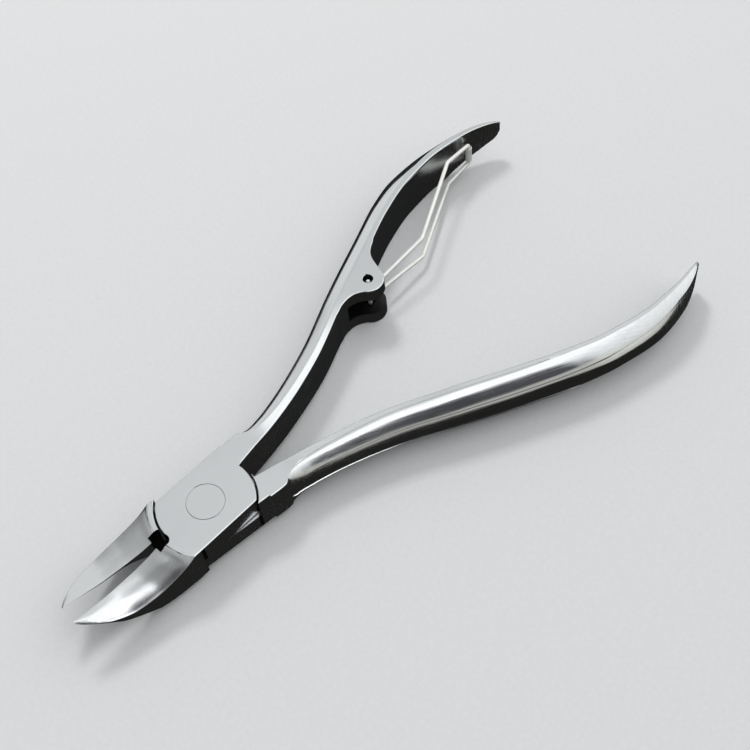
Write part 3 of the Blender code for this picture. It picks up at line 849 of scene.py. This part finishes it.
def make_wire(material):
    """Bent wire frame: its ends stand in the lug's ears, and its far end is a crossbar."""
    route = (WIRE_KNEE, WIRE_SHOULDER, WIRE_CROSSBAR)
    from_hinge = [(x - LUG_CENTRE[0], y - LUG_CENTRE[1], z) for x, y, z in route]
    upper = [(0.0, 0.0, WIRE_END_HEIGHT), (0.0, 0.0, WIRE_LEG_START)] + from_hinge
    lower = [(x, y, -z) for x, y, z in reversed(upper)]
    corners = [Vector(p) for p in upper + lower]
    bends = [WIRE_END_BEND_RADIUS, WIRE_BEND_RADIUS, WIRE_BEND_RADIUS, WIRE_CORNER_RADIUS]
    path = rounded_path(corners, bends + bends[::-1])
    inward = Vector((0, 0, WIRE_TAPER_LENGTH))
    ends = [path[0] - inward, path[-1] + inward]
    path = [path[0], ends[0]] + path[1:-1] + [ends[1], path[-1]]
    curve = bpy.data.curves.new("wire_frame", "CURVE")
    curve.dimensions = "3D"
    curve.bevel_depth = WIRE_RADIUS * MM
    curve.bevel_resolution = 6
    curve.use_fill_caps = True
    spline = curve.splines.new("POLY")
    spline.points.add(len(path) - 1)
    for point, place in zip(spline.points, path):
        point.co = (*(place * MM), 1.0)
    spline.points[0].radius = WIRE_TAPER
    spline.points[-1].radius = WIRE_TAPER
    guide = bpy.data.objects.new("wire_guide", curve)
    bpy.context.scene.collection.objects.link(guide)
    mesh = evaluated_mesh(guide)
    bpy.data.objects.remove(guide)
    bm = bmesh.new()
    bm.from_mesh(mesh)
    bmesh.ops.remove_doubles(bm, verts=bm.verts, dist=MERGE_DISTANCE)
    bmesh.ops.recalc_face_normals(bm, faces=bm.faces)
    bpy.data.meshes.remove(mesh)
    wire = link_mesh("wire_frame", bm)
    paint(wire, material)
    shade(wire, ROLLED_EDGE_ANGLE)
    stand_at(wire, "spring_frame_hinge")
    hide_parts("spring_wire")
    return wire


def make_sleeve(material):
    """Sheet sleeve rolled round the crossbar, open along one side, with rounded long edges."""
    middle = (SLEEVE_INNER_RADIUS + SLEEVE_OUTER_RADIUS) / 2
    half = (SLEEVE_OUTER_RADIUS - SLEEVE_INNER_RADIUS) / 2
    half_slit = radians(SLEEVE_SLIT / 2)
    facing = radians(SLEEVE_SLIT_FACING)
    turn = 2 * pi - 2 * half_slit
    angles = [facing + half_slit + turn * k / SLEEVE_STEPS for k in range(SLEEVE_STEPS + 1)]

    def lip(angle, way):
        """Round end of the sheet at one side of the slit."""
        points = []
        for k in range(1, SLEEVE_LIP_STEPS):
            a = pi * k / SLEEVE_LIP_STEPS
            radius = middle + half * cos(a) * way
            points.append((radius, angle + way * half * sin(a) / middle))
        return points

    polar = [(SLEEVE_OUTER_RADIUS, a) for a in angles] + lip(angles[-1], 1)
    polar += [(SLEEVE_INNER_RADIUS, a) for a in reversed(angles)] + lip(angles[0], -1)
    rim = RIM_BREAK
    bm = bmesh.new()
    rings = []
    half_length = SLEEVE_LENGTH / 2
    stations = [(-half_length, rim), (rim - half_length, 0.0)]
    ribs = round((SLEEVE_LENGTH - 2 * rim) / SLEEVE_RIB_PITCH)
    for k in range(1, ribs):
        place = rim - half_length + (SLEEVE_LENGTH - 2 * rim) * k / ribs
        stations += [(place + shift * SLEEVE_RIB_PITCH, dip) for shift, dip in SLEEVE_RIB_GROOVE]
    stations += [(half_length - rim, 0.0), (half_length, rim)]
    for height, inset in stations:
        ring = []
        for radius, angle in polar:
            r = middle + (radius - middle) * (1 - inset / half)
            ring.append(bm.verts.new((r * cos(angle) * MM, r * sin(angle) * MM, height * MM)))
        rings.append(ring)
    bridge(bm, rings)
    bm.faces.new(rings[0])
    bm.faces.new(rings[-1])
    bmesh.ops.recalc_face_normals(bm, faces=bm.faces)
    sleeve = link_mesh("rolled_sleeve", bm)
    paint(sleeve, material)
    shade(sleeve, ROLLED_EDGE_ANGLE)
    stand_at(sleeve, "sleeve_roll")
    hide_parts("spring_sleeve")
    return sleeve


class Nodes:
    """Small helper that adds nodes to a material or a world and links their sockets."""

    def __init__(self, owner, shader="Principled BSDF"):
        owner.use_nodes = True
        self.tree = owner.node_tree
        self.shader = self.tree.nodes[shader]

    def add(self, kind, **settings):
        node = self.tree.nodes.new(kind)
        for key, value in settings.items():
            setattr(node, key, value)
        return node

    def put(self, socket, value):
        if isinstance(value, bpy.types.NodeSocket):
            self.tree.links.new(value, socket)
        else:
            socket.default_value = value

    def math(self, operation, a, b=0.0):
        node = self.add("ShaderNodeMath", operation=operation)
        self.put(node.inputs[0], a)
        self.put(node.inputs[1], b)
        return node.outputs[0]

    def times(self, *factors):
        """Product of two or more factors."""
        product = factors[0]
        for factor in factors[1:]:
            product = self.math("MULTIPLY", product, factor)
        return product

    def length(self, a, b):
        squares = [self.math("MULTIPLY", part, part) for part in (a, b)]
        return self.math("SQRT", self.math("ADD", *squares))

    def near(self, value, middle, reach):
        """1 within reach of the middle, else 0."""
        away = self.math("ABSOLUTE", self.math("SUBTRACT", value, middle))
        return self.math("LESS_THAN", away, reach)

    def between(self, value, low, high):
        """1 from low to high, else 0."""
        return self.times(self.math("LESS_THAN", value, high), self.math("GREATER_THAN", value, low))

    def ramp(self, value, low, high, out_low=0.0, out_high=1.0, smooth=True):
        """Value carried from low..high to out_low..out_high, and held there outside."""
        node = self.add("ShaderNodeMapRange", interpolation_type="SMOOTHSTEP" if smooth else "LINEAR")
        names = ("From Min", "From Max", "To Min", "To Max")
        for name, number in zip(names, (low, high, out_low, out_high)):
            node.inputs[name].default_value = number
        self.put(node.inputs["Value"], value)
        return node.outputs[0]

    def mix(self, factor, a, b):
        node = self.add("ShaderNodeMix", data_type="FLOAT")
        self.put(node.inputs[0], factor)
        self.put(node.inputs[2], a)
        self.put(node.inputs[3], b)
        return node.outputs[0]

    def mix_colour(self, factor, a, b):
        node = self.add("ShaderNodeMix", data_type="RGBA")
        self.put(node.inputs[0], factor)
        self.put(node.inputs[6], a)
        self.put(node.inputs[7], b)
        return node.outputs[2]

    def split(self, vector):
        node = self.add("ShaderNodeSeparateXYZ")
        self.put(node.inputs[0], vector)
        return node.outputs

    def noise(self, place, scale, turn=0.0, detail=3.0):
        """Noise stretched by a scale for each axis, in repeats a millimetre, after a turn about Z."""
        mapping = self.add("ShaderNodeMapping", vector_type="TEXTURE")
        mapping.inputs["Rotation"].default_value = (0.0, 0.0, radians(turn))
        mapping.inputs["Scale"].default_value = tuple(MM / s for s in scale)
        self.put(mapping.inputs["Vector"], place)
        node = self.add("ShaderNodeTexNoise")
        node.inputs["Scale"].default_value = 1.0
        node.inputs["Detail"].default_value = detail
        self.put(node.inputs["Vector"], mapping.outputs[0])
        return node.outputs["Fac"]

    def bump(self, height, depth):
        """Bump whose full height is depth, in millimetres."""
        node = self.add("ShaderNodeBump")
        node.inputs["Strength"].default_value = 1.0
        node.inputs["Distance"].default_value = depth * MM
        self.put(node.inputs["Height"], height)
        return node.outputs[0]


def painted_shade_walls(n, side, x, y, z):
    """1 on the walls that get painted shade: the lap joint's seam, the keyhole, and the lug's slot and
    hole.
    """
    seam = n.near(n.length(x, y), SEAM_RADIUS * MM, SEAM_REACH * MM)
    front, back = KEYHOLE_MARGINS
    slit = n.times(
        n.near(y, 0.0, SLIT_HALF_WIDTH * MM),
        n.between(x, (KEYHOLE_FRONT - front) * MM, (KEYHOLE_BACK + back) * MM),
    )
    deep = n.near(z, MID_Z * MM, SEAM_HALF_DEPTH * MM)
    painted_shade = n.times(n.math("MAXIMUM", seam, slit), deep)
    if side < 0:
        return painted_shade
    away = [n.math("SUBTRACT", value, place * MM) for value, place in zip((x, y), LUG_CENTRE)]
    hole = n.math("LESS_THAN", n.length(*away), (LUG_HOLE_RADIUS + LUG_HOLE_MARGIN) * MM)
    start, end = slot_outline()[:2]
    slope = (end[1] - start[1]) / (end[0] - start[0])
    bed = n.math("SUBTRACT", y, n.math("MULTIPLY", x, slope))
    slot = n.times(
        n.math("LESS_THAN", bed, (start[1] - start[0] * slope + LUG_SLOT_MARGIN) * MM),
        n.between(x, (start[0] - LUG_SLOT_MARGIN) * MM, (end[0] + LUG_SLOT_PAST) * MM),
        n.near(z, MID_Z * MM, (LUG_SLOT_WIDTH / 2 + LUG_SLOT_HEIGHT_MARGIN) * MM),
    )
    return n.math("MAXIMUM", painted_shade, n.math("MAXIMUM", slot, hole))


def forged_steel(name, side):
    """Polished stainless steel: satin flats, jaws brushed along their length, streaked handles; painted
    shade on the flats and in the hollows.
    """
    material = bpy.data.materials.new(name)
    n = Nodes(material)
    level = n.add("ShaderNodeMapping")
    level.inputs["Rotation"].default_value = (0.0, 0.0, -side * radians(HALF_OPENING))
    n.put(level.inputs["Vector"], n.add("ShaderNodeTexCoord").outputs["Object"])
    place = level.outputs[0]
    x, y, z = n.split(place)
    normal_z = n.split(n.add("ShaderNodeNewGeometry").outputs["Normal"])[2]
    jaw = n.ramp(x, *JAW_RAMP)
    tip = n.ramp(x, *TIP_RAMP)
    flat = n.times(n.ramp(normal_z, *FLAT_RAMP), n.math("SUBTRACT", 1.0, jaw))

    jaw_lines = n.noise(place, JAW_LINES, turn=side * JAW_LINES_TURN, detail=4.0)
    jaw_fine_lines = n.noise(place, JAW_FINE_LINES, turn=side * JAW_LINES_TURN, detail=2.0)
    streaks = n.noise(place, HANDLE_STREAKS, turn=side * HANDLE_STREAKS_TURN, detail=4.0)
    scratches = n.noise(place, TIP_SCRATCHES, turn=side * TIP_SCRATCHES_TURN, detail=4.0)
    grain = n.noise(place, GROUND_GRAIN, detail=3.0)
    clouds = n.noise(place, CLOUDS, detail=2.0)
    lines = n.mix(jaw, n.mix(tip, streaks, scratches), n.mix(0.5, jaw_lines, jaw_fine_lines))
    surface = n.mix(flat, lines, grain)

    rough = n.mix(jaw, n.mix(tip, n.ramp(x, *HANDLE_ROUGHNESS), TIP_ROUGHNESS), JAW_ROUGHNESS)
    rough = n.mix(flat, rough, FLAT_ROUGHNESS)
    rough = n.math("ADD", rough, n.ramp(surface, *SURFACE_ROUGHNESS, smooth=False))
    rough = n.math("ADD", rough, n.ramp(clouds, *CLOUD_ROUGHNESS, smooth=False))
    n.put(n.shader.inputs["Roughness"], rough)

    bright, dark = FORGED_COLOURS
    colour = n.mix_colour(n.ramp(surface, *COLOUR_RAMP), dark, bright)
    # Painted shade: up-facing flats are darkened, which dims their reflection; their satin finish comes
    # from roughness and bump
    colour = n.mix_colour(n.times(flat, FLAT_SHADE_SHARE), colour, FLAT_SHADE_COLOUR)
    # Painted shade: the deep walls of the seam, the keyhole and the lug's slot and hole are coloured
    # near-black
    colour = n.mix_colour(painted_shade_walls(n, side, x, y, z), colour, PAINTED_SHADE_COLOUR)
    n.put(n.shader.inputs["Base Color"], colour)
    n.shader.inputs["Metallic"].default_value = 1.0

    depth = n.mix(flat, n.mix(jaw, n.mix(tip, HANDLE_BUMP, TIP_BUMP), JAW_BUMP), FLAT_BUMP)
    height = n.times(n.math("SUBTRACT", surface, 0.5), depth)
    n.put(n.shader.inputs["Normal"], n.bump(height, FORGED_BUMP_DEPTH))
    return material


def turned_steel(name):
    """Rivet end, ground flush with the head: fine grain with faint traces of the turning."""
    material = bpy.data.materials.new(name)
    n = Nodes(material)
    place = n.add("ShaderNodeTexCoord").outputs["Object"]
    rings = n.add("ShaderNodeTexWave", wave_type="RINGS", rings_direction="Z")
    rings.inputs["Scale"].default_value = TURNING_SCALE
    rings.inputs["Distortion"].default_value = TURNING_WOBBLE
    n.put(rings.inputs["Vector"], place)
    grain = n.noise(place, GROUND_GRAIN, detail=3.0)
    surface = n.mix(TURNING_SHARE, grain, rings.outputs["Fac"])
    n.put(n.shader.inputs["Roughness"], n.ramp(surface, *RIVET_ROUGHNESS, smooth=False))
    bright, dark = RIVET_COLOURS
    n.put(n.shader.inputs["Base Color"], n.mix_colour(n.ramp(surface, *COLOUR_RAMP), dark, bright))
    n.shader.inputs["Metallic"].default_value = 1.0
    n.put(n.shader.inputs["Normal"], n.bump(surface, RIVET_BUMP_DEPTH))
    return material


def drawn_steel(name, colours, roughness, lines):
    """Dull drawn wire or rolled sheet: faint lines and small blotches."""
    material = bpy.data.materials.new(name)
    n = Nodes(material)
    place = n.add("ShaderNodeTexCoord").outputs["Object"]
    streaks = n.noise(place, lines, detail=3.0)
    blotches = n.noise(place, DRAWN_BLOTCHES, detail=3.0)
    surface = n.mix(DRAWN_BLOTCH_SHARE, streaks, blotches)
    spread = [roughness + part for part in DRAWN_ROUGHNESS_SPREAD]
    n.put(n.shader.inputs["Roughness"], n.ramp(surface, *DRAWN_RAMP, *spread, smooth=False))
    bright, dark = colours
    n.put(n.shader.inputs["Base Color"], n.mix_colour(n.ramp(surface, *DRAWN_RAMP), dark, bright))
    n.shader.inputs["Metallic"].default_value = DRAWN_METALLIC
    n.put(n.shader.inputs["Normal"], n.bump(streaks, DRAWN_BUMP_DEPTH))
    return material


def make_floor():
    """Plain pale floor under the object, at its lowest point."""
    bm = bmesh.new()
    bmesh.ops.create_grid(bm, x_segments=24, y_segments=24, size=FLOOR_HALF_SIZE)
    floor = link_mesh("floor", bm)
    floor.location = (FLOOR_MIDDLE_X, 0.0, cad_box[0][2])
    material = bpy.data.materials.new("floor")
    n = Nodes(material)
    grain = n.noise(n.add("ShaderNodeTexCoord").outputs["Object"], FLOOR_GRAIN, detail=2.0)
    n.put(n.shader.inputs["Base Color"], n.mix_colour(grain, *FLOOR_COLOURS))
    n.shader.inputs["Roughness"].default_value = FLOOR_ROUGHNESS
    floor.data.materials.append(material)
    floor.visible_glossy = False


def make_lamp(name, place, aim, size, radiance, seen_in_steel):
    """Rectangular lamp at place facing aim, as bright all over as radiance says."""
    light = bpy.data.lights.new(name, "AREA")
    light.shape = "RECTANGLE"
    light.size, light.size_y = size
    light.energy = radiance * pi * size[0] * size[1]
    lamp = bpy.data.objects.new(name, light)
    bpy.context.scene.collection.objects.link(lamp)
    lamp.location = place
    lamp.rotation_euler = (Vector(place) - Vector(aim)).to_track_quat("Z", "Y").to_euler()
    lamp.visible_camera = False
    lamp.visible_glossy = seen_in_steel
    lamp.visible_diffuse = not seen_in_steel


def make_world():
    """White studio dome that is dark on the photographer's side and below the table's edge.

    east and north are the two parts of the angle from straight up, in degrees, towards +X and +Y.
    """
    world = bpy.data.worlds.new("studio")
    bpy.context.scene.world = world
    n = Nodes(world, "Background")
    x, y, z = n.split(n.add("ShaderNodeTexCoord").outputs["Generated"])
    zenith = n.math("DEGREES", n.math("ARCCOSINE", z))
    share = n.math("DIVIDE", zenith, n.math("MAXIMUM", n.length(x, y), 0.001))
    east = n.math("MULTIPLY", x, share)
    north = n.math("MULTIPLY", y, share)

    bright = n.times(
        n.ramp(north, *TOP_GLOW), n.ramp(north, *LOW_FALL, smooth=False), n.ramp(east, *EAST_FALL)
    )
    spot = n.times(
        n.ramp(east, *SPOT_EAST), n.ramp(north, *SPOT_NORTH_END), n.ramp(north, *SPOT_SOUTH_END)
    )
    bright = n.math("MAXIMUM", bright, spot)

    shade = n.times(
        n.ramp(east, *SHADE_FROM_WEST, smooth=False),
        n.ramp(north, *SHADE_NORTH_FALL),
        n.ramp(north, *SHADE_CREST),
        n.ramp(north, *SHADE_SOUTH_FALL),
    )
    shade = n.mix(n.ramp(north, *LOW_BAND), LOW_BAND_BRIGHTNESS, shade)
    shade = n.mix(n.ramp(east, *WEST_WALL), WEST_WALL_BRIGHTNESS, shade)

    shift = n.times(n.ramp(north, *BORDER_SHIFT_SOUTH), n.ramp(north, *BORDER_SHIFT_FADE))
    shift = n.math("ADD", shift, n.ramp(north, *BORDER_SHIFT_NORTH))
    dome = n.mix(n.ramp(n.math("ADD", east, shift), *BORDER), shade, bright)
    rim = n.math("ADD", n.ramp(north, *RIM_SOUTH), n.ramp(north, *RIM_NORTH))
    above = n.ramp(n.math("SUBTRACT", zenith, rim), *RIM_SOFTNESS)
    n.put(n.shader.inputs["Strength"], n.mix(above, BELOW_RIM, dome))

    cool = n.times(n.ramp(east, *COOL_EAST), n.ramp(north, *COOL_NORTH), n.ramp(north, *COOL_SOUTH))
    tint = n.mix_colour(n.ramp(north, *COOL_SOUTH), WARM_TINT, PLAIN_TINT)
    n.put(n.shader.inputs["Color"], n.mix_colour(cool, tint, COOL_TINT))


def make_camera():
    data = bpy.data.cameras.new("camera")
    data.lens = CAMERA_LENS
    data.sensor_width = 36.0
    data.clip_start = 0.01
    camera = bpy.data.objects.new("camera", data)
    bpy.context.scene.collection.objects.link(camera)
    ahead = (CAMERA_TARGET - CAMERA_PLACE).normalized()
    right = ahead.cross(CAMERA_UP).normalized()
    up = right.cross(ahead)
    turn = Matrix((right, up, -ahead)).transposed().to_4x4()
    camera.matrix_world = Matrix.Translation(CAMERA_PLACE) @ turn
    bpy.context.scene.camera = camera


def main():
    make_camera()
    make_floor()
    make_world()
    make_lamp("key", seen_in_steel=False, **KEY_LAMP)
    make_lamp("strip", seen_in_steel=True, **STRIP_LAMP)
    bpy.context.scene.view_settings.view_transform = "Standard"
    spring_steel = forged_steel("forged_steel", 1)
    plain_steel = forged_steel("forged_steel_plain_lever", -1)
    upper_lever = make_lever("upper_lever", "spring_lever", "spring", 1, spring_steel)
    lower_lever = make_lever("lower_lever", "plain_lever", "plain", -1, plain_steel)
    rivet = make_rivet(turned_steel("rivet_steel"))
    wire = make_wire(drawn_steel("spring_steel", WIRE_COLOURS, WIRE_ROUGHNESS, WIRE_LINES))
    sleeve = make_sleeve(drawn_steel("sleeve_steel", SLEEVE_COLOURS, SLEEVE_ROUGHNESS, SLEEVE_LINES))
    for piece, body, slot in (
        (upper_lever, "spring_lever", "forged_steel"),
        (lower_lever, "plain_lever", "forged_steel_plain_lever"),
        (rivet, "spring_lever", "rivet_steel"),
        (wire, "spring_frame", "spring_steel"),
        (sleeve, "spring_sleeve", "sleeve_steel"),
    ):
        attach(piece, body)


main()
